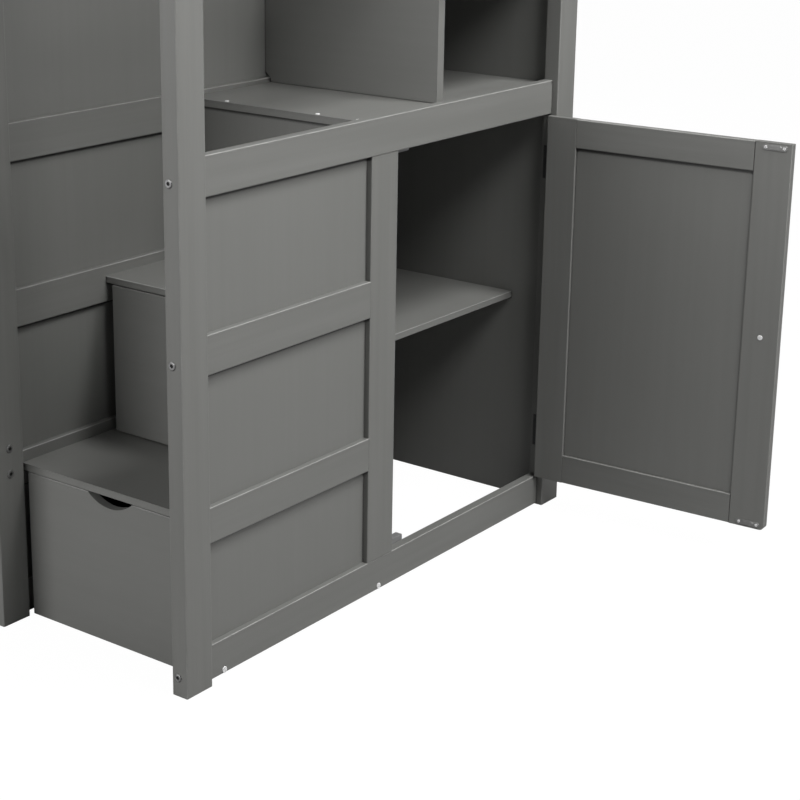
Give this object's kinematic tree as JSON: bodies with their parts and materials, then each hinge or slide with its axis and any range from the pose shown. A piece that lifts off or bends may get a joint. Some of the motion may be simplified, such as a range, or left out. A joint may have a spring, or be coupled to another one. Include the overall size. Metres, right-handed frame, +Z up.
{
  "type": "loft bed with desk",
  "caption": "Twin loft bed over a desk, with panelled storage stairs at one end that hold pull-out step drawers, a hinged cabinet door and an open cubby.",
  "frame": {"origin": "middle of the footprint on the floor, measured with the cabinet door standing open as at rest", "axes": "+X along the bed towards the stair end, +Y from the open front to the wall side, +Z up"},
  "size_m": [2.8427, 1.0632, 1.78],
  "materials": {
    "grey_painted_wood": "satin paint",
    "natural_pine": "bare planed pine",
    "bright_steel": "zinc plated",
    "white_plastic": "moulded",
    "grey_plastic": "moulded"
  },
  "bodies": {
    "frame": {"stair_front_post": "grey_painted_wood", "stair_rear_post": "grey_painted_wood", "inner_front_post": "grey_painted_wood", "inner_rear_post": "grey_painted_wood", "far_posts": "grey_painted_wood", "end_bottom_rail": "grey_painted_wood", "end_top_rail": "grey_painted_wood", "end_middle_stile": "grey_painted_wood", "end_cross_rails": "grey_painted_wood", "end_infill_panels": "grey_painted_wood", "inner_side_rails": "grey_painted_wood", "inner_side_panels": "grey_painted_wood", "far_end_rails": "grey_painted_wood", "far_end_panels": "grey_painted_wood", "entry_stile": "grey_painted_wood", "long_guard_boards": "grey_painted_wood", "end_guard_boards": "grey_painted_wood", "stair_guard_boards": "grey_painted_wood", "tread_1": "grey_painted_wood", "tread_2": "grey_painted_wood", "tread_3": "grey_painted_wood", "tread_4": "grey_painted_wood", "cabinet_front_wall": "grey_painted_wood", "stair_rear_panel": "grey_painted_wood", "stair_rear_rails": "grey_painted_wood", "cubby_riser": "grey_painted_wood", "cubby_apron": "grey_painted_wood", "support_cleats": "grey_painted_wood", "floor_stretchers": "grey_painted_wood", "drawer_glides": "white_plastic", "hinge_post_leaves": "bright_steel", "hinge_pins": "bright_steel", "cabinet_shelf": "grey_painted_wood", "shelf_pins": "bright_steel", "catch_magnets": "white_plastic", "catch_bodies": "grey_plastic", "bed_side_rails": "grey_painted_wood", "mattress_slats": "natural_pine", "rear_floor_rail": "grey_painted_wood", "desk_top": "grey_painted_wood", "desk_rails": "grey_painted_wood", "desk_side_panels": "grey_painted_wood", "bookcase_front_rail": "grey_painted_wood", "bookcase_shelves": "grey_painted_wood", "frame_bolts": "bright_steel", "frame_screws": "bright_steel"},
    "lower_drawer": {"lower_drawer_front": "grey_painted_wood", "lower_drawer_box": "grey_painted_wood"},
    "upper_drawer": {"upper_drawer_front": "grey_painted_wood", "upper_drawer_box": "grey_painted_wood"},
    "door": {"door_free_stile": "grey_painted_wood", "door_hinge_stile": "grey_painted_wood", "door_rails": "grey_painted_wood", "door_panel": "grey_painted_wood", "door_knob": "grey_painted_wood", "door_screws": "bright_steel", "strike_plates": "bright_steel", "hinge_door_leaves": "bright_steel"}
  },
  "joints": [
    {"name": "door_hinge", "type": "hinge", "parent": "frame", "child": "door", "pos_m": [0.95523, 0.472, 0.409], "axis": [0, 0, 1], "range_deg": [-93, 0]},
    {"name": "lower_drawer_slide", "type": "slide", "parent": "frame", "child": "lower_drawer", "axis": [0, -1, 0], "range_m": [0, 0.3]},
    {"name": "upper_drawer_slide", "type": "slide", "parent": "frame", "child": "upper_drawer", "axis": [0, -1, 0], "range_m": [0, 0.15]}
  ]
}
